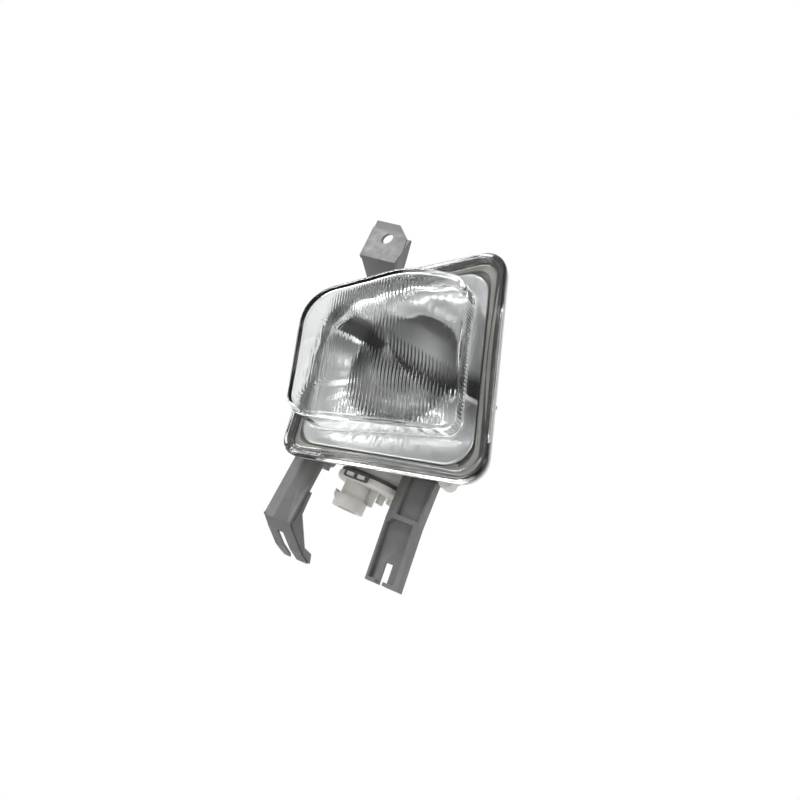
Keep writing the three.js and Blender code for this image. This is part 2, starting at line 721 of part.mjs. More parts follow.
function makeBreather() {
  const y0 = shellEnd + 1;
  const tip = [spigot.x, shellEnd + SPIGOT.length + 6, spigot.z - 6];
  const sleeve = tubeAlong([
    [spigot.x, y0, spigot.z], [spigot.x, shellEnd + SPIGOT.length, spigot.z],
    tip, [spigot.x, shellEnd + SPIGOT.length + 6, spigot.z - 16],
  ], SPIGOT.outer + GAP + 1.4, 12, 14);
  const bore = barY(SPIGOT.outer + GAP, spigot.x, spigot.z, y0 - 5, shellEnd + SPIGOT.length + GAP);
  const drain = tubeAlong([
    [spigot.x, y0 + 2, spigot.z], [spigot.x, shellEnd + SPIGOT.length, spigot.z],
    tip, [spigot.x, shellEnd + SPIGOT.length + 6, spigot.z - 20],
  ], SPIGOT.bore, 12, 10);
  add('breather_elbow', cut(solid(sleeve), [bore, solid(drain)]), 'rubber');
}

// ---------------------------------------------------------------- bracket frame
const frameY1 = frameY0 + FRAME.t;
const tabY1 = frameY0 - GAP;
const tabY0 = tabY1 - FRAME.tabT;
const earGap = GAP + 0.7; // room beside the boss
const ears = {
  left: bossEnd.left - earGap - PIVOT.ear,
  right: bossEnd.right + earGap,
};
const tabScrews = {
  lug: [lug.left + 14, lug.creaseZ - 20],
  left_arm: [leftArm.x + 8.5, leftArm.z + 6.5],
  right_arm: [rightArm.x + 9, rightArm.z + 8],
};

// A plate of the frame, its corners measured from a place.
const framePlate = (x, z, corners) => frontalSolid(
  rounded(corners.map(([dx, dz, radius]) => [x + dx, z + dz, radius])), frameY0, frameY1);

function makeFrame() {
  const inner = rounded(sectionAt(frameY0, -FRAME.clearance));
  const outer = rounded(sectionAt(frameY0, -FRAME.clearance - FRAME.width));
  const ring = frontalSolid(outer, frameY0, frameY1);
  const lugTab = framePlate(lug.left, lug.creaseZ, [
    [3, -46, 3], [31, -52, 3], [33, -26, 3], [26, -10, 4], [2, -10, 4],
  ]);
  const leftFoot = framePlate(leftArm.x, leftArm.z, [
    [-2, 0.5, 3], [16, 0.5, 3], [16, 20.5, 3], [4, 38.5, 3],
  ]);
  const rightFoot = framePlate(rightArm.x, rightArm.z, [
    [0, 3, 3], [17, 4, 3], [27, 10, 4], [27, 31, 6], [0, 25, 3],
  ]);
  const low = pivot.z - PIVOT.earRadius;
  const high = pivot.z + PIVOT.earRadius;
  const earPlates = [ears.left, ears.right].map((x) => join([
    box(x, x + PIVOT.ear, pivot.y, frameY1, low, high),
    barX(PIVOT.earRadius, pivot.y, pivot.z, x, x + PIVOT.ear, 32),
    box(x - 6, x + PIVOT.ear, frameY0, frameY1, low, high),
  ]));
  const opening = frontalSolid(inner, frameY0 - 10, frameY1 + 10);
  const neckWay = box(neck.x - NECK.outer - 19, neck.x + NECK.outer + 2, frameY0 - 5, frameY1 + 5,
    neck.bottom - 42, neck.top + 4);
  const bushHoles = [ears.left, ears.right].map((x) => (
    barX(PIVOT.bush + GAP, pivot.y, pivot.z, x - 5, x + PIVOT.ear + 5)));
  const screwHole = barY(ADJUSTER.bore, adjuster.x, adjuster.z, frameY0 - 5, frameY1 + 5);
  const tapped = Object.values(tabScrews).map(([x, z]) => (
    barY(SCREW.shank + GAP, x, z, frameY0 - 5, frameY1 + 5)));
  let body = join([ring, lugTab, leftFoot, rightFoot]);
  body = cut(body, [opening, neckWay]);
  body = cut(join([body, ...earPlates]), [...bushHoles, screwHole, ...tapped]);
  add('carrier_frame', body, 'grey');
}

function makeLug() {
  const { width, height, lean, t, hole, holeRight, holeUp } = LUG;
  const { left, creaseY, creaseZ } = lug;
  const right = left + width;
  const topY = creaseY + lean;
  const topZ = creaseZ + height;
  const plate = sideways([
    [creaseY, creaseZ], [creaseY + t, creaseZ - 1], [topY + t, topZ], [topY, topZ],
  ], left - 10, right);
  const outline = frontalSolid([
    v2(left, creaseZ - 40), v2(right + 3, creaseZ - 40), v2(right + 3, creaseZ),
    v2(right - 3.3, creaseZ + 22), v2(right - 16.5, topZ + 0.5), v2(left - 6.6, topZ + 0.5),
    v2(left, creaseZ),
  ], creaseY - 60, creaseY + 90);
  const stepDown = 6.5;
  const stepDepth = 0.9;
  const stepY = topY - (lean * stepDown) / height + stepDepth;
  const edgeStep = sideways([
    [topY - 15, topZ - stepDown], [stepY, topZ - stepDown], [topY + stepDepth, topZ + 0.1],
    [topY - 15, topZ + 0.1],
  ], left - 10, right + 10);
  const webEnd = tabY0 + 1;
  const web = sideways([
    [creaseY, creaseZ], [webEnd, creaseZ - 11], [webEnd, creaseZ - 7.4],
    [creaseY + t, creaseZ + 2.6],
  ], left + 1, right);
  const tab = frontalSolid(rounded([
    [left + 3, creaseZ - 28, 3], [left + 25.5, creaseZ - 28, 3],
    [left + 25.5, creaseZ - 7.4, 0], [left + 3, creaseZ - 7.4, 0],
  ]), tabY0, tabY1);
  const gusset = sideways([
    [creaseY + 1, creaseZ], [webEnd, creaseZ - 10], [webEnd, creaseZ - 8],
    [creaseY + 17, creaseZ - 3], [creaseY + 13.5, creaseZ + 10], [topY - 1, topZ - 10.5],
    [topY - 3, topZ - 11],
  ], right - 3, right - 0.6);
  const centre = v3(left + holeRight, creaseY + (lean * holeUp) / height, creaseZ + holeUp);
  const drill = new THREE.CylinderGeometry(hole, hole, 30, 32);
  drill.rotateX(Math.atan2(lean, height));
  drill.translate(centre.x, centre.y, centre.z);
  const screwWay = barY(SCREW.shank + GAP, ...tabScrews.lug, tabY0 - 5, tabY1 + 5);
  const body = join([plate.subtract(edgeStep).intersect(outline), web, gusset, tab]);
  add('upper_lug', cut(body, [solid(drill), screwWay]), 'grey');
  return centre;
}

// The screw's way through an arm's tab, drawn from the arm's own corner.
function tabHole([x, z], corner) {
  return barY(SCREW.shank + GAP, x - corner.x, z - corner.z, tabY0 - corner.y - 5,
    tabY1 - corner.y + 5);
}

// The left arm is a slim channel with a ridge down its front and a slotted foot. It is
// drawn from its upper left front corner.
function makeLeftArm() {
  const { drop, lean, slot, footSlope } = LEFT_ARM;
  const tabFront = tabY0 - leftArm.y;
  const tabBack = tabY1 - leftArm.y;
  const leaning = (point) => {
    const down = -point.z / drop;
    point.x += 3 * down;
    point.y -= lean * down;
    return point;
  };
  const sloping = (point) => {
    point.x += footSlope * Math.max(0, -drop - point.z);
    return point;
  };
  const channel = upright([
    [0, 10], [11, 4.6], [19.4, 8.5], [21.6, 8.5], [21.6, 12], [19.2, 12], [18.6, 10.6],
    [11.4, 7.6], [2.4, 12.2], [0, 12.2],
  ], -drop - 0.5, 0, leaning);
  const belowElbow = (points) => points.map(([y, z]) => [y, z - drop]);
  const footPlate = sideways(belowElbow([
    [-1.5, 1], [0, 0], [4, -6.3], [11, -14], [19, -18], [19.8, -15.6], [12.4, -12], [6, -5],
    [2.6, 0], [1, 1],
  ]), 3.2, 23.8, sloping);
  const slotLeft = 12.6 - slot / 2;
  const slotCut = sideways(belowElbow([
    [-12, -6.2], [28, -6.2], [48, -30], [-12, -30],
  ]), slotLeft, slotLeft + slot, sloping);
  const roundOff = frontalSolid([
    [6, -12], [11.5, -12], [16.5, -16.6], [19.5, -18.5], [19.5, -24], [6, -24],
  ].map(([x, z]) => v2(x, z - drop)), -12, 48);
  const sideWall = sideways(belowElbow([
    [1.4, 2], [4, 12], [5.8, 24], [7, 24], [7.4, 9], [11.5, 0], [15.9, -9.3], [24.6, -11],
    [20, -17.2], [13, -14.2], [5.4, -6], [1.4, 0],
  ]), 23, 25.2, sloping);
  const sideRoot = box(21, 24, 4.6, 7.2, -drop + 6, -drop + 23);
  const backPlate = box(-2, 16, 5, tabBack, -3, 0);
  const tab = box(-2, 16, tabFront, tabBack, -1, 13.5);
  const foot = cut(footPlate, [slotCut, roundOff]);
  const body = join([channel, foot, sideWall, sideRoot, backPlate, tab]);
  add('left_arm', cut(body, [tabHole(tabScrews.left_arm, leftArm)]), 'grey', leftArm);
}

// The right arm has a recessed panel above an open-fronted pocket with a notched back
// wall. It is drawn from its upper left front corner.
function makeRightArm() {
  const { width, depth, wall, edge, bend, length } = RIGHT_ARM;
  const inside = depth - wall;
  const tabFront = tabY0 - rightArm.y;
  const tabBack = tabY1 - rightArm.y;
  const upper = (point) => {
    point.x -= point.z / bend;
    return point;
  };
  const lower = (point) => {
    point.x += 1 + (4 * (-bend - point.z)) / (length - bend);
    return point;
  };
  const section = [[0, depth], [0, 3.6], [6, 0], [width, 0], [width, depth]];
  const body = upright(section, -bend, 0, upper).add(upright(section, -length, 0.01 - bend, lower));
  const panel = upright([
    [7.4, -5], [width - 1.4, -5], [width - 1.4, 3], [7.4, 3],
  ], 3 - bend, 5, upper);
  const pocket = upright([
    [wall, -5], [width - edge, -5], [width - edge, inside], [wall, inside],
  ], 2.2 - length, -bend, lower);
  const pocketCorner = frontalSolid([
    v2(-5, 1 - bend), v2(9, 1 - bend), v2(7.5, -bend), v2(1, -bend - 6), v2(-5, -bend - 6),
  ], -10, inside);
  const notch = upright([
    [9, 0], [14, 0], [14, depth + 5], [9, depth + 5],
  ], -length - 5, 14 - length, lower);
  const lipCut = sideways([
    [-5, -length - 5], [4, -length - 5], [-5, 4 - length],
  ], -20, width + 20);
  const tab = box(2, 15, tabFront, tabBack, -5, 12);
  const bridge = box(2, 15, inside, tabBack, -5, -2);
  const shaped = cut(body, [panel, pocket.subtract(pocketCorner), notch, lipCut]);
  const whole = join([shaped, tab, bridge]);
  add('right_arm', cut(whole, [tabHole(tabScrews.right_arm, rightArm)]), 'grey', rightArm);
}

function makeTabScrews() {
  Object.entries(tabScrews).forEach(([name, [x, z]]) => {
    const head = barY(SCREW.head, x, z, tabY0 - GAP - SCREW.headT, tabY0 - GAP, 24);
    const shank = barY(SCREW.shank, x, z, tabY0 - GAP - 1, frameY1 + 1.5, 16);
    const cross = join([
      box(x - 2.4, x + 2.4, tabY0 - 20, tabY0 - GAP - 1.4, z - 0.4, z + 0.4),
      box(x - 0.4, x + 0.4, tabY0 - 20, tabY0 - GAP - 1.4, z - 2.4, z + 2.4),
    ]);
    add(`${name}_screw`, cut(head.add(shank), [cross]), 'steel');
  });
}

// ---------------------------------------------------------------- pivots and aim screw
function makePivots() {
  const sides = [
    { name: 'left', ear: ears.left, inner: bossRoot.left - 2 - GAP, out: -1 },
    { name: 'right', ear: ears.right, inner: bossRoot.right + 2 + GAP, out: 1 },
  ];
  sides.forEach(({ name, ear, inner, out }) => {
    const outerEnd = out < 0 ? ear - 2 : ear + PIVOT.ear + 2;
    const [x0, x1] = out < 0 ? [outerEnd, inner] : [inner, outerEnd];
    const pin = barX(PIVOT.pin, pivot.y, pivot.z, x0, x1);
    const head = out < 0
      ? barX(PIVOT.pin + 1.6, pivot.y, pivot.z, outerEnd - 1.4, outerEnd)
      : barX(PIVOT.pin + 1.6, pivot.y, pivot.z, outerEnd, outerEnd + 1.4);
    add(`pivot_pin_${name}`, pin.add(head), 'steel');
    const sleeve = barX(PIVOT.bush, pivot.y, pivot.z, ear - 0.4, ear + PIVOT.ear + 0.4);
    const lip = out < 0
      ? barX(PIVOT.bush + 1.6, pivot.y, pivot.z, ear - GAP - 1.2, ear - GAP)
      : barX(PIVOT.bush + 1.6, pivot.y, pivot.z, ear + PIVOT.ear + GAP, ear + PIVOT.ear + GAP + 1.2);
    const bore = barX(PIVOT.pin + GAP, pivot.y, pivot.z, ear - 10, ear + PIVOT.ear + 10);
    add(`pivot_bush_${name}`, sleeve.add(lip).subtract(bore), 'rubber');
  });
}

function makeAdjuster() {
  const { x, z, bossEnd: seat } = adjuster;
  const { screw } = ADJUSTER;
  const shank = barY(screw, x, z, seat - 7, frameY1 + 2);
  const head = barY(4.4, x, z, frameY1 + GAP + 0.4, frameY1 + 4.6, 6);
  const driver = join([
    box(x - 3, x + 3, frameY1 + 3, frameY1 + 20, z - 0.5, z + 0.5),
    box(x - 0.5, x + 0.5, frameY1 + 3, frameY1 + 20, z - 3, z + 3),
  ]);
  const groove = barY(screw + 3, x, z, frameY0 - 3.2, frameY0 - 1.4)
    .subtract(barY(screw - 0.7, x, z, frameY0 - 8, frameY0 + 4));
  add('adjuster_screw', cut(shank.add(head), [driver, groove]), 'steel');

  const washer = barY(5.2, x, z, frameY0 - 2.9, frameY0 - 1.7, 28);
  const way = join([
    barY(screw - 0.7 + GAP, x, z, frameY0 - 8, frameY0 + 4),
    box(x - 1.6, x + 1.6, frameY0 - 8, frameY0 + 4, z - 20, z),
  ]);
  add('adjuster_retainer', washer.subtract(way), 'steel');

  const sleeve = barY(ADJUSTER.nutShank, x, z, seat - 6.5, seat + 1);
  const flange = barY(6, x, z, seat + GAP, seat + 3.2, 6);
  const bore = barY(ADJUSTER.bore, x, z, seat - 20, seat + 20);
  add('adjuster_nut', sleeve.add(flange).subtract(bore), 'ivory');
}

// ---------------------------------------------------------------- the whole lamp
makeLens();
makeSeal();
makeHousing();
makeReflector();
makeBulb();
makeBulbClip();
makeCap();
makeCapSeal();
makeLatch();
makeTerminals();
makeLeads();
makeBreather();
makeFrame();
const fixing = makeLug();
makeLeftArm();
makeRightArm();
makeTabScrews();
makePivots();
makeAdjuster();

lamp.position.copy(fixing).negate();
const root = new THREE.Group();
root.add(lamp);
root.updateMatrixWorld(true);

export default root;
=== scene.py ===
"""Visual model of a front fog lamp: its glass, mirror, mouldings, fittings and a plain studio."""

import json
import logging
import math
from dataclasses import dataclass
from enum import Enum

import bmesh
import bpy
import numpy as np
from mathutils import Matrix, Vector


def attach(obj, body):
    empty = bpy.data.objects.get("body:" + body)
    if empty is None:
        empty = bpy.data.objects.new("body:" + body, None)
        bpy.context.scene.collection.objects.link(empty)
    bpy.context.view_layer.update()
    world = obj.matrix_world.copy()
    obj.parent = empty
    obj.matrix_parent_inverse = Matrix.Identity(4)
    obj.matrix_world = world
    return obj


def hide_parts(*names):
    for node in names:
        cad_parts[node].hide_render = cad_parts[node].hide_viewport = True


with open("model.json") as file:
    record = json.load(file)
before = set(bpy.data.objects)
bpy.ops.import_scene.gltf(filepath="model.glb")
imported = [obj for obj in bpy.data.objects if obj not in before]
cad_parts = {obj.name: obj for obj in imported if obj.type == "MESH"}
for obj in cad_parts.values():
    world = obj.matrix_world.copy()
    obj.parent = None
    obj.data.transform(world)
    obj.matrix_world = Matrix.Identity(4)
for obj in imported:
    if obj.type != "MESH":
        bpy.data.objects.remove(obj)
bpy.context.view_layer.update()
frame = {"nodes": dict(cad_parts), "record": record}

LOG = logging.getLogger("fog_lamp")
MM = 0.001
TURN = 2 * math.pi
LAMP_ORIGIN = (72.0, -17.8055, -110.6)
Socket = bpy.types.NodeSocket


class Slot(Enum):
    """Material slots of the record that new pieces take their finish from."""

    GLASS = "lens_glass"
    MIRROR = "mirror_coat"
    IVORY = "ivory_plastic"
    GREY = "grey_plastic"


class Body(Enum):
    """Moving bodies that new pieces ride on."""

    BRACKET = "bracket"
    LAMP = "lamp"
    CAP = "cap"


class ShaderGraph:
    """A material's node tree with short calls for the patterns the finishes share."""

    def __init__(self, name: str) -> None:
        """Starts a material.

        Args:
            name: the material's name.
        """
        self.material = bpy.data.materials.new(name)
        self.material.use_nodes = True
        self.tree = self.material.node_tree
        self.shader = self.tree.nodes["Principled BSDF"]
        self.coords = self.tree.nodes.new("ShaderNodeTexCoord")

    def noise(self, scale: float, detail: float = 3.0, stretch: tuple = (1.0, 1.0, 1.0)) -> Socket:
        """Adds a noise on Object coordinates.

        Args:
            scale: cells per metre.
            detail: octaves.
            stretch: scale on each axis.

        Returns:
            The noise's factor socket.
        """
        mapping = self.tree.nodes.new("ShaderNodeMapping")
        mapping.inputs["Scale"].default_value = stretch
        texture = self.tree.nodes.new("ShaderNodeTexNoise")
        texture.inputs["Scale"].default_value = scale
        texture.inputs["Detail"].default_value = detail
        self.tree.links.new(self.coords.outputs["Object"], mapping.inputs["Vector"])
        self.tree.links.new(mapping.outputs["Vector"], texture.inputs["Vector"])
        return texture.outputs["Fac"]

    def ramp(self, factor: Socket, stops: list) -> Socket:
        """Adds a colour ramp.

        Args:
            factor: the socket that drives it.
            stops: pairs of place and grey level or colour.

        Returns:
            The ramp's colour socket.
        """
        ramp = self.tree.nodes.new("ShaderNodeValToRGB")
        elements = ramp.color_ramp.elements
        while len(elements) < len(stops):
            elements.new(0.5)
        for element, (place, colour) in zip(elements, stops):
            element.position = place
            rgb = colour if isinstance(colour, tuple) else (colour,) * 3
            element.color = (*rgb, 1.0)
        self.tree.links.new(factor, ramp.inputs["Fac"])
        return ramp.outputs["Color"]

    def drive(self, socket: str, output: Socket) -> None:
        """Links an output to one of the shader's sockets."""
        self.tree.links.new(output, self.shader.inputs[socket])

    def bump(self, height: Socket, depth: float, strength: float) -> None:
        """Gives the shader a bump.

        Args:
            height: the socket of heights.
            depth: metres from lowest to highest.
            strength: share of the bump that shows.
        """
        node = self.tree.nodes.new("ShaderNodeBump")
        node.inputs["Distance"].default_value = depth
        node.inputs["Strength"].default_value = strength
        self.tree.links.new(height, node.inputs["Height"])
        self.drive("Normal", node.outputs["Normal"])


@dataclass(frozen=True)
class MouldedFinish:
    """Plastic or rubber with mottled colour, uneven gloss and fine grain."""

    name: str
    low: tuple
    high: tuple
    rough_low: float
    rough_high: float
    grain: float
    depth: float
    sheen: float = 0.4

    def make(self) -> bpy.types.Material:
        """Builds the material and returns it."""
        graph = ShaderGraph(self.name)
        shade = graph.noise(55.0, 5.0)
        graph.drive("Base Color", graph.ramp(shade, [(0.3, self.low), (0.7, self.high)]))
        wear = graph.noise(170.0, 4.0)
        graph.drive("Roughness", graph.ramp(wear, [(0.3, self.rough_low), (0.7, self.rough_high)]))
        graph.bump(graph.noise(self.grain, 2.0), self.depth, 0.35)
        graph.shader.inputs["Specular IOR Level"].default_value = self.sheen
        return graph.material


@dataclass(frozen=True)
class MetalFinish:
    """Plated or drawn metal with fine streaks and dull patches."""

    name: str
    low: tuple
    high: tuple
    rough_low: float
    rough_high: float
    stretch: tuple = (1.0, 8.0, 1.0)

    def make(self) -> bpy.types.Material:
        """Builds the material and returns it."""
        graph = ShaderGraph(self.name)
        patches = graph.noise(240.0, 4.0)
        graph.drive("Base Color", graph.ramp(patches, [(0.3, self.low), (0.7, self.high)]))
        streaks = graph.noise(700.0, 3.0, self.stretch)
        graph.drive("Roughness", graph.ramp(streaks, [(0.3, self.rough_low), (0.7, self.rough_high)]))
        graph.bump(streaks, 0.00004, 0.2)
        graph.shader.inputs["Metallic"].default_value = 1.0
        return graph.material


@dataclass(frozen=True)
class MirrorWithPaintedShade:
    """Metal-coated reflector with painted shade: a near-black painted belt that slopes down to the right,
    with a thin painted highlight line above it.
    """

    name: str = "mirror_coating_painted_shade"
    # Middle of the painted shade belt along z + slope x, in metres.
    painted_shade_belt: float = -0.0735
    slope: float = 0.16
    reach: float = 0.06

    def make(self) -> bpy.types.Material:
        """Builds the material and returns it. The painted shade belt's place is z + slope x, in metres."""
        graph = ShaderGraph(self.name)
        nodes = graph.tree.nodes
        split = nodes.new("ShaderNodeSeparateXYZ")
        graph.tree.links.new(graph.coords.outputs["Object"], split.inputs["Vector"])
        lean = nodes.new("ShaderNodeMath")
        lean.operation = "MULTIPLY_ADD"
        lean.inputs[1].default_value = self.slope
        graph.tree.links.new(split.outputs["X"], lean.inputs[0])
        graph.tree.links.new(split.outputs["Z"], lean.inputs[2])
        place = nodes.new("ShaderNodeMapRange")
        place.inputs["From Min"].default_value = self.painted_shade_belt - self.reach
        place.inputs["From Max"].default_value = self.painted_shade_belt + self.reach
        graph.tree.links.new(lean.outputs[0], place.inputs["Value"])
        # Painted light along z + slope x: a bright upper mirror, a thin painted highlight line at
        # 0.462-0.475, a near-black painted shade belt below it, and a mid grey lower part.
        stops = [
            (0.0, 0.97), (0.34, 0.85), (0.4, 0.4), (0.452, 0.3), (0.462, 0.97), (0.475, 0.97),
            (0.484, 0.02), (0.555, 0.03), (0.62, 0.45), (0.72, 0.55),
        ]
        graph.drive("Base Color", graph.ramp(place.outputs["Result"], stops))
        haze = graph.noise(90.0, 4.0)
        graph.drive("Roughness", graph.ramp(haze, [(0.3, 0.32), (0.7, 0.4)]))
        graph.shader.inputs["Metallic"].default_value = 1.0
        return graph.material


@dataclass(frozen=True)
class GlassFinish:
    """Clear glass with a faint green tint, uneven gloss and a fine uneven surface."""

    name: str
    tint: tuple
    rough_low: float
    rough_high: float

    def make(self) -> bpy.types.Material:
        """Builds the material and returns it."""
        graph = ShaderGraph(self.name)
        graph.shader.inputs["Base Color"].default_value = (*self.tint, 1.0)
        graph.shader.inputs["Transmission Weight"].default_value = 1.0
        graph.shader.inputs["IOR"].default_value = 1.5
        dust = graph.noise(130.0, 5.0)
        graph.drive("Roughness", graph.ramp(dust, [(0.4, self.rough_low), (0.75, self.rough_high)]))
        graph.bump(graph.noise(900.0, 3.0), 0.00006, 0.25)
        return graph.material


FINISHES = {
    "lens_glass": GlassFinish("pressed_glass", (0.98, 0.991, 0.987), 0.02, 0.1),
    "bulb_glass": GlassFinish("bulb_glass_clear", (0.98, 0.99, 0.99), 0.01, 0.03),
    "mirror_coat": MirrorWithPaintedShade(),
    "seal_rubber": MouldedFinish(
        "seal_rubber_dull", (0.06,) * 3, (0.1, 0.098, 0.094), 0.6, 0.85, 1600.0, 0.0001, 0.2,
    ),
    "ivory_plastic": MouldedFinish(
        "ivory_moulding", (0.5, 0.49, 0.455), (0.6, 0.59, 0.55), 0.38, 0.55, 2100.0, 0.00004,
    ),
    "grey_plastic": MouldedFinish(
        "grey_moulding", (0.13,) * 3, (0.165, 0.165, 0.162), 0.42, 0.62, 1900.0, 0.00009,
    ),
    "dark_plastic": MouldedFinish(
        "dark_moulding", (0.05,) * 3, (0.085, 0.085, 0.08), 0.4, 0.6, 1900.0, 0.00006,
    ),
    "lead_sleeve": MouldedFinish(
        "lead_sleeve_dull", (0.014, 0.015, 0.017), (0.03, 0.032, 0.035), 0.5, 0.7, 1500.0, 0.00005,
    ),
    "bulb_metal": MetalFinish(
        "stamped_bulb_base", (0.5, 0.4, 0.22), (0.68, 0.57, 0.36), 0.28, 0.45,
    ),
    "filament_wire": MetalFinish("drawn_filament", (0.2, 0.19, 0.18), (0.33, 0.32, 0.3), 0.35, 0.5),
    "spring_steel": MetalFinish("spring_wire", (0.5,) * 3, (0.68, 0.68, 0.66), 0.2, 0.35),
    "terminal_metal": MetalFinish("tinned_blade", (0.6, 0.55, 0.38), (0.75, 0.7, 0.54), 0.25, 0.4),
    "zinc_steel": MetalFinish("zinc_plating", (0.5, 0.51, 0.5), (0.7, 0.71, 0.7), 0.24, 0.42),
}


def fall(value: np.ndarray, at: float, width: float) -> np.ndarray:
    """A soft step from 1 well below `at` to 0 well above it: one over one plus an exponential."""
    return 1 / (1 + np.exp((value - at) / width))


def make_piece(name: str, rows: np.ndarray, caps: bool, finish: bpy.types.Material) -> bpy.types.Object:
    """Turns a grid of rings into an object.

    Args:
        name: the piece's name.
        rows: points in lamp millimetres, ring by ring, of shape (rings, around, 3).
        caps: whether a pole closes the first and the last ring.
        finish: its material.

    Returns:
        The new object. Each ring is joined to the next, and a pole is the mean of its ring.
    """
    rings, around, _ = rows.shape
    points = rows.reshape(-1, 3)
    index = np.arange(rings * around).reshape(rings, around)
    following = np.roll(index, -1, axis=1)
    quads = np.stack([index[:-1], following[:-1], following[1:], index[1:]], axis=-1).reshape(-1, 4)
    faces = quads.tolist()
    if caps:
        poles = np.stack([rows[0].mean(0), rows[-1].mean(0)])
        points = np.concatenate([points, poles])
        first = np.stack([following[0], index[0], np.full(around, rings * around)], -1)
        last = np.stack([index[-1], following[-1], np.full(around, rings * around + 1)], -1)
        faces += first.tolist() + last.tolist()
    mesh = bpy.data.meshes.new(name)
    mesh.from_pydata(((points + np.array(LAMP_ORIGIN)) * MM).tolist(), [], faces)
    work = bmesh.new()
    work.from_mesh(mesh)
    bmesh.ops.recalc_face_normals(work, faces=work.faces)
    work.to_mesh(mesh)
    work.free()
    mesh.polygons.foreach_set("use_smooth", np.ones(len(mesh.polygons), bool))
    mesh.materials.append(finish)
    piece = bpy.data.objects.new(name, mesh)
    bpy.context.scene.collection.objects.link(piece)
    LOG.info("%s: %d faces", name, len(mesh.polygons))
    return piece


def rounded_outline(corners: list, radii: list, steps: int = 16) -> np.ndarray:
    """Rounds a polygon's corners: each is a circle's arc, as a weighted mean of its ends and corner.

    Args:
        corners: x and z of each corner.
        radii: rounding of each corner.
        steps: points in each corner.

    Returns:
        The outline's points.
    """
    at = np.array(corners, float)
    before = np.roll(at, 1, axis=0) - at
    after = np.roll(at, -1, axis=0) - at
    before /= np.linalg.norm(before, axis=1, keepdims=True)
    after /= np.linalg.norm(after, axis=1, keepdims=True)
    half = np.arccos((before * after).sum(1)) / 2
    trim = (np.array(radii) / np.tan(half))[:, None]
    t = np.linspace(0, 1, steps)[None, :, None]
    start = (at + before * trim)[:, None]
    end = (at + after * trim)[:, None]
    pull = 2 * t * (1 - t) * np.sin(half)[:, None, None]
    points = (1 - t) ** 2 * start + pull * at[:, None] + t ** 2 * end
    return (points / ((1 - t) ** 2 + pull + t ** 2)).reshape(-1, 2)


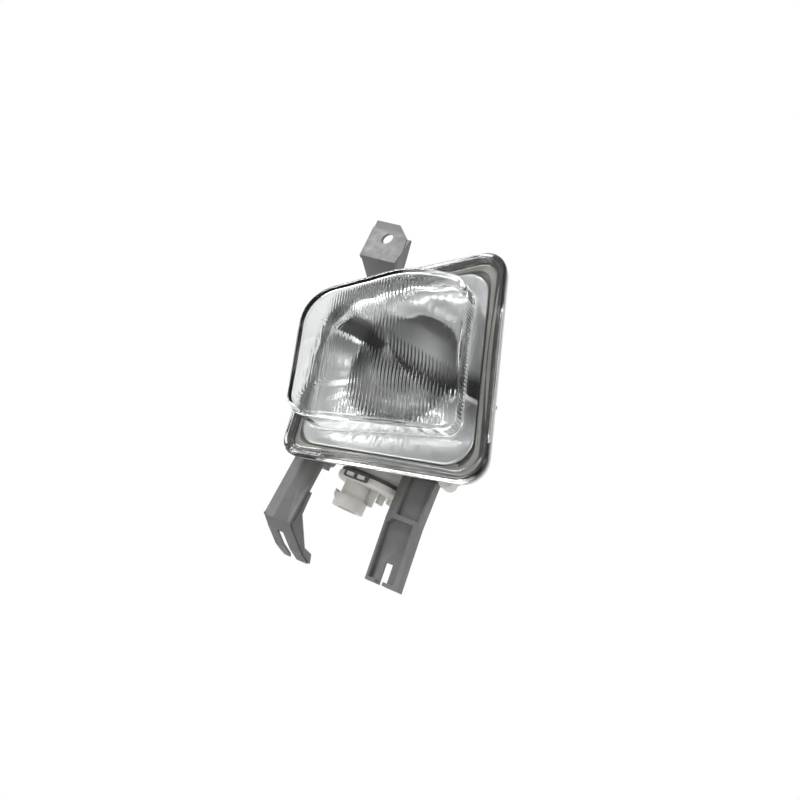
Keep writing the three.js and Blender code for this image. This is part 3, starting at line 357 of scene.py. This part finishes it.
@dataclass
class GlassLens:
    """The pressed glass: beaded rim, sloping band and raised window with flutes inside it."""

    centre: tuple = (-12.0, 26.0)
    around: int = 720
    rim: tuple = ((-64.8, -57.2), (75.0, -33.9), (25.5, 116.3), (-85.2, 59.8))
    rim_radii: tuple = (12, 17, 15, 40)
    window: tuple = ((-53.3, -37.2), (49.0, -10.9), (18.5, 82.3), (-18.5, 79.3), (-76.2, 37.8))
    window_radii: tuple = (12, 9, 14, 60, 28)
    wall: float = 3.0
    flange: float = 3.5
    flute_pitch: float = 2.4
    flute_depth: float = 0.36
    flute_lean: float = 0.33
    flute_waver: tuple = (0.9, 4.7)
    crowding: tuple = (0.35, -35.0, 6.0)
    upper_flutes: tuple = (0.1, 1.3, -24.0, 8.0)
    ledge: tuple = (0.16, 30.0, 1.6)
    ledge_step: float = 0.5
    scallop_depth: float = 0.14
    scallop_pitch: float = 12.0
    edge_round: float = 2.4
    wall_top: float = 3.2
    wall_inset: float = 0.25
    wall_foot: float = -0.8
    ridge_depth: float = 0.4
    ridge_pitch: float = 2.4
    band_crown: float = 0.15
    band_front: float = -0.1
    bead_width: float = 7.0
    bead_height: float = 1.15
    inner_drop: float = 0.6

    def radius_at(self, angles: np.ndarray, corners: tuple, radii: tuple) -> np.ndarray:
        """Distance of an outline from the centre at each angle, between its nearest points.

        Args:
            angles: directions, in radians.
            corners: the outline's corners.
            radii: their rounding.

        Returns:
            One distance for each angle.
        """
        outline = rounded_outline(list(corners), list(radii), 40) - np.array(self.centre)
        closed = np.concatenate([outline, outline[:1]])
        t = np.linspace(0, 1, 60, endpoint=False)[None, :, None]
        dense = (closed[:-1, None] * (1 - t) + closed[1:, None] * t).reshape(-1, 2)
        angle = np.arctan2(dense[:, 1], dense[:, 0])
        order = np.argsort(angle)
        return np.interp(angles, angle[order], np.hypot(*dense.T)[order], period=2 * math.pi)

    def face_depth(self, x: np.ndarray) -> np.ndarray:
        """The window's slanting front: y rises evenly from the left edge to the right."""
        return -36.5 + 0.1757 * (x + 76.2)

    def rows(self) -> np.ndarray:
        """Rings from the window's middle out over its edge, wall and band, round the rim and back inside.

        Returns:
            The grid of points. A ring is the outline's distance times a share, less an inset. The
            beads are raised sines, and the side ridges a cosine of the height. The flutes are a
            cosine across the lamp, full below the sloping ledge and fading to the right above it.
        """
        angle = np.linspace(-math.pi, math.pi, self.around, endpoint=False)
        cos, sin = np.cos(angle), np.sin(angle)
        edge = self.radius_at(angle, self.window, self.window_radii)
        rim = self.radius_at(angle, self.rim, self.rim_radii)
        side = np.clip(cos, 0, 1) ** 2
        ridge = self.ridge_depth * side * np.cos(TURN * edge * sin / self.ridge_pitch)

        def place(radius: np.ndarray) -> tuple:
            """x and z of a ring at that distance."""
            return self.centre[0] + radius * cos, self.centre[1] + radius * sin

        rings = []

        def ring(radius: np.ndarray, depth: np.ndarray) -> None:
            """Keeps one ring."""
            x, z = place(radius)
            rings.append(np.stack([x, np.broadcast_to(depth, x.shape), z], -1))

        for share in np.linspace(0.02, 1, 16):
            radius = (edge - self.edge_round) * share
            ring(radius, self.face_depth(place(radius)[0]))
        for turn in np.linspace(0.15, 1, 6) * math.pi / 2:
            flat = edge - self.edge_round
            drop = self.edge_round * (1 - math.cos(turn))
            ring(flat + self.edge_round * math.sin(turn), self.face_depth(place(flat)[0]) + drop)
        top = self.face_depth(place(edge)[0]) + self.wall_top
        for share in np.linspace(0.05, 1, 12):
            radius = edge - self.wall_inset + ridge * math.sin(math.pi * share)
            ring(radius, top + (self.wall_foot - top) * share)
        band = rim - self.bead_width
        for share in np.linspace(0.08, 1, 10):
            crown = self.band_crown * np.sin(math.pi * share)
            ring(edge + (band - edge) * share, crown + self.band_front)
        for share in np.linspace(0.05, 1, 18):
            bead = self.bead_height * abs(math.sin(TURN * share)) * (1 - 0.35 * share)
            ring(band + (rim - band) * share, self.band_front - bead + 0.8 * share ** 4)
        for depth in (1.4, 2.2, 3.0, self.flange):
            ring(rim - (self.wall_inset if depth == self.flange else 0.0), depth)
        for share in np.linspace(0.25, 1, 5):
            ring(rim + (edge - self.wall - rim) * share, self.flange)
        inner = edge - self.wall
        for share in np.linspace(0.1, 1, 9):
            deep = self.face_depth(place(inner)[0]) + self.wall + self.inner_drop
            ring(inner, self.flange + (deep - self.flange) * share)
        for share in np.linspace(0.985, 0.015, 64):
            radius = inner * share
            x, z = place(radius)
            slope, height, blend = self.ledge
            below = fall(z + slope * x, height, blend)
            least, rise, middle, width = self.upper_flutes
            above = least + rise * fall(x, middle, width)
            gain, start, reach = self.crowding
            swing, period = self.flute_waver
            across = (x + self.flute_lean * z) * (1 + gain * fall(x, start, reach))
            phase = TURN * across / self.flute_pitch + swing * np.sin(z / period) * below
            flute = self.flute_depth * (above * (1 - below) + below) * np.cos(phase)
            waves = np.cos(TURN * (z + slope * x) / self.scallop_pitch)
            scallop = self.scallop_depth * (1 - below) * waves
            fade = np.clip((1 - share) * 12, 0, 1)
            inside = self.face_depth(x) + self.wall + self.inner_drop + self.ledge_step * below
            ring(radius, inside + (flute + scallop) * fade)
        return np.array(rings)

    def build(self, finish: bpy.types.Material) -> bpy.types.Object:
        """Makes the glass, in place of the plain one.

        Args:
            finish: the glass's material.

        Returns:
            The glass, riding on the lamp.
        """
        piece = make_piece("fluted_glass", self.rows(), True, finish)
        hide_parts("lens")
        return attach(piece, Body.LAMP.value)


@dataclass
class ReflectorBowl:
    """The mirror: an oval bowl with a smooth upper half and a lower half pressed in flutes."""

    centre: tuple = (-10.0, 8.0, 22.0)
    reach: tuple = (38.6, 41.6, 37.6)
    bulb_bore: tuple = (-9.503, 31.0, 10.2)
    wall: float = 1.2
    shell_axis: tuple = (-24.0, 20.0)
    brim_share: float = 0.85
    brim_ahead: float = 1.0
    ledge: tuple = (0.16, 1.2)
    flute_pitch: float = 5.2
    flute_depths: tuple = (0.9, 0.45)
    brim_flute: float = 0.08

    def build(self, finish: bpy.types.Material) -> bpy.types.Object:
        """Makes the bowl and returns it.

        Args:
            finish: the mirror coating.

        Returns:
            The bowl. It is an ellipsoid's rear half, where a point goes out as the sine and back as
            the cosine of its latitude, less cosine flutes. A brim joins its mouth to the rim's
            outline, shrunk towards the shell's axis, in even steps. Faces over the bulb's bore are left out.
        """
        latitude = np.linspace(0.02, 1, 64)[:, None] * math.pi / 2
        angle = np.linspace(-math.pi, math.pi, 360, endpoint=False)[None, :]
        out, back = np.sin(latitude), np.cos(latitude)
        x = self.centre[0] + self.reach[0] * out * np.cos(angle)
        z = self.centre[2] + self.reach[2] * out * np.sin(angle)
        slope, blend = self.ledge
        base, swell = self.flute_depths
        low = fall(z + slope * x, self.centre[2], blend)
        flute = low * out * (base + swell * np.cos(TURN * x / self.flute_pitch))
        y = self.centre[1] + self.reach[1] * back - flute
        bowl = np.stack([x, y, z], -1)
        glass = GlassLens()
        axis = np.array(self.shell_axis)
        mouth = axis + self.brim_share * (np.array(glass.rim) - axis)
        edge = glass.radius_at(angle[0], mouth, glass.rim_radii)
        brim = np.stack([
            glass.centre[0] + edge * np.cos(angle[0]),
            np.full(edge.shape, self.centre[1] - self.brim_ahead),
            glass.centre[1] + edge * np.sin(angle[0]),
        ], -1)
        share = np.linspace(0.05, 1, 20)[:, None, None]
        plate = bowl[-1] + (brim - bowl[-1]) * share
        waves = np.cos(TURN * plate[..., 0] / self.flute_pitch)
        plate[..., 1] -= self.brim_flute * waves * np.sin(math.pi * share[..., 0])
        rows = np.concatenate([bowl, plate])
        piece = make_piece("fluted_reflector", rows, False, finish)
        self.open_bore(piece)
        shell = piece.modifiers.new("wall", "SOLIDIFY")
        shell.thickness = self.wall * MM
        shell.offset = 0.0
        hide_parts("reflector")
        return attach(piece, Body.LAMP.value)

    def open_bore(self, piece: bpy.types.Object) -> None:
        """Takes out the faces whose middle lies in the upright bore below the bowl's axis.

        Args:
            piece: the bowl.
        """
        bore_x, bore_y, radius = self.bulb_bore
        work = bmesh.new()
        work.from_mesh(piece.data)
        middles = np.array([face.calc_center_median() for face in work.faces]) / MM
        x, y, z = (middles - np.array(LAMP_ORIGIN)).T
        inside = (np.hypot(x - bore_x, y - bore_y) < radius) & (z < self.centre[2])
        work.faces.ensure_lookup_table()
        gone = [work.faces[i] for i in np.flatnonzero(inside)]
        bmesh.ops.delete(work, geom=gone, context="FACES")
        work.to_mesh(piece.data)
        work.free()


@dataclass
class Moulding:
    """A merged copy of a moulded CAD body with softened edges."""

    node: str
    body: Body
    slot: Slot
    softening: float = 0.45
    curved: bool = False
    edge_angle: float = 38.0

    def build(self, finish: bpy.types.Material) -> bpy.types.Object:
        """Copies the body, joins its loose triangles and rounds its edges.

        Args:
            finish: the moulding's material.

        Returns:
            The copy, riding on its body.
        """
        source = frame["nodes"][self.node]
        piece = bpy.data.objects.new(f"{self.node}_moulding", source.data.copy())
        bpy.context.scene.collection.objects.link(piece)
        work = bmesh.new()
        work.from_mesh(piece.data)
        bmesh.ops.remove_doubles(work, verts=work.verts, dist=1e-6)
        bmesh.ops.recalc_face_normals(work, faces=work.faces)
        work.to_mesh(piece.data)
        work.free()
        piece.data.polygons.foreach_set("use_smooth", np.full(len(piece.data.polygons), self.curved))
        piece.data.set_sharp_from_angle(angle=math.radians(self.edge_angle))
        piece.data.materials.clear()
        piece.data.materials.append(finish)
        bevel = piece.modifiers.new("edges", "BEVEL")
        bevel.width = self.softening * MM
        bevel.segments = 2
        bevel.limit_method = "ANGLE"
        bevel.angle_limit = math.radians(self.edge_angle)
        bevel.use_clamp_overlap = True
        bevel.harden_normals = self.curved
        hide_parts(self.node)
        LOG.info("%s: %d faces", piece.name, len(piece.data.polygons))
        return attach(piece, self.body.value)


MOULDINGS = (
    Moulding("upper_lug", Body.BRACKET, Slot.GREY),
    Moulding("left_arm", Body.BRACKET, Slot.GREY),
    Moulding("right_arm", Body.BRACKET, Slot.GREY),
    Moulding("carrier_frame", Body.BRACKET, Slot.GREY, 0.4),
    Moulding("access_cap", Body.CAP, Slot.IVORY, 0.35, True),
    Moulding("lamp_housing", Body.LAMP, Slot.IVORY, 0.35, True),
)


@dataclass
class Studio:
    """Pale floor, soft lights and the camera."""

    target: tuple = (0.072, -0.0178, -0.1106)
    distance: float = 0.6324
    yaw: float = 29.0
    pitch: float = 12.0
    roll: float = 24.5
    focal: float = 45.9
    floor_z: float = -1.2
    floor_half: float = 1.5
    floor_points: int = 25
    floor_dish: float = 0.004
    lights: tuple = (
        ((-1.1, -1.2, 1.3), 48.0, 1.0),
        ((1.4, -1.0, 0.2), 6.0, 0.7),
        ((-0.5, -1.4, -0.6), 4.0, 0.6),
    )

    def world(self) -> None:
        """A white room behind and above the lamp that turns grey in front of and below it."""
        world = bpy.data.worlds.new("studio_world")
        bpy.context.scene.world = world
        world.use_nodes = True
        tree = world.node_tree
        coords = tree.nodes.new("ShaderNodeTexCoord")
        split = tree.nodes.new("ShaderNodeSeparateXYZ")
        ramp = tree.nodes.new("ShaderNodeValToRGB")
        place = tree.nodes.new("ShaderNodeMapRange")
        place.inputs["From Min"].default_value = -1.0
        ramp.color_ramp.elements[0].position = 0.22
        ramp.color_ramp.elements[0].color = (0.3, 0.3, 0.3, 1)
        ramp.color_ramp.elements[1].position = 0.6
        ramp.color_ramp.elements[1].color = (1, 1, 1, 1)
        tree.links.new(coords.outputs["Generated"], split.inputs["Vector"])
        rise = tree.nodes.new("ShaderNodeMath")
        rise.operation = "MULTIPLY_ADD"
        rise.inputs[1].default_value = 0.35
        tree.links.new(split.outputs["Z"], rise.inputs[0])
        tree.links.new(split.outputs["Y"], rise.inputs[2])
        tree.links.new(rise.outputs[0], place.inputs["Value"])
        tree.links.new(place.outputs["Result"], ramp.inputs["Fac"])
        tree.links.new(ramp.outputs["Color"], tree.nodes["Background"].inputs["Color"])

    def floor(self) -> None:
        """A gently dished pale floor: height grows as the square of the distance from its middle."""
        count = self.floor_points
        side = np.linspace(-self.floor_half, self.floor_half, count)
        x, y = np.meshgrid(side, side, indexing="ij")
        height = self.floor_z + self.floor_dish * (x ** 2 + y ** 2)
        points = np.stack([x, y, height], -1).reshape(-1, 3)
        index = np.arange(count * count).reshape(count, count)
        corners = [index[:-1, :-1], index[1:, :-1], index[1:, 1:], index[:-1, 1:]]
        faces = np.stack(corners, -1).reshape(-1, 4)
        mesh = bpy.data.meshes.new("studio_floor")
        mesh.from_pydata(points.tolist(), [], faces.tolist())
        paint = MouldedFinish("floor_paint", (0.8,) * 3, (0.84,) * 3, 0.8, 0.9, 60.0, 0.0005)
        mesh.materials.append(paint.make())
        floor = bpy.data.objects.new("studio_floor", mesh)
        bpy.context.scene.collection.objects.link(floor)

    def lamps(self) -> None:
        """Soft area lights that face the object."""
        for number, (place, power, size) in enumerate(self.lights):
            data = bpy.data.lights.new(f"soft_{number}", "AREA")
            data.energy = power
            data.size = size
            lamp = bpy.data.objects.new(f"soft_{number}", data)
            lamp.location = place
            aim = Vector(self.target) - Vector(place)
            lamp.rotation_euler = aim.to_track_quat("-Z", "Y").to_euler()
            bpy.context.scene.collection.objects.link(lamp)

    def camera(self) -> None:
        """The camera looks at the object from the front right and a little below, turned on its axis."""
        yaw, pitch, roll = map(math.radians, (self.yaw, self.pitch, self.roll))
        back = Vector((math.sin(yaw) * math.cos(pitch), -math.cos(yaw) * math.cos(pitch), -math.sin(pitch)))
        level = Vector((0, 0, 1)).cross(back).normalized()
        lift = back.cross(level)
        right = level * math.cos(roll) + lift * math.sin(roll)
        up = lift * math.cos(roll) - level * math.sin(roll)
        data = bpy.data.cameras.new("camera")
        data.lens = self.focal
        data.sensor_width = 36.0
        camera = bpy.data.objects.new("camera", data)
        turn = Matrix((right, up, back)).transposed().to_4x4()
        camera.matrix_world = Matrix.Translation(Vector(self.target) + back * self.distance) @ turn
        bpy.context.scene.collection.objects.link(camera)
        bpy.context.scene.camera = camera

    def build(self) -> None:
        """Sets up the room, floor, lights and camera."""
        self.world()
        self.floor()
        self.lamps()
        self.camera()
        bpy.context.scene.view_settings.view_transform = "Standard"


def dress_nodes(finishes: dict) -> None:
    """Gives every CAD body the finish of its slot in the record.

    Args:
        finishes: material of each slot.
    """
    for row in frame["record"]["subparts"]:
        mesh = frame["nodes"][row["node"]].data
        mesh.materials.clear()
        mesh.materials.append(finishes[row["material_slot"]])


def main() -> None:
    """Builds each sub-assembly in order."""
    logging.basicConfig(level=logging.INFO)
    finishes = {slot: finish.make() for slot, finish in FINISHES.items()}
    Studio().build()
    dress_nodes(finishes)
    GlassLens().build(finishes["lens_glass"])
    ReflectorBowl().build(finishes["mirror_coat"])
    for moulding in MOULDINGS:
        moulding.build(finishes[moulding.slot.value])


if __name__ == "__main__":
    main()
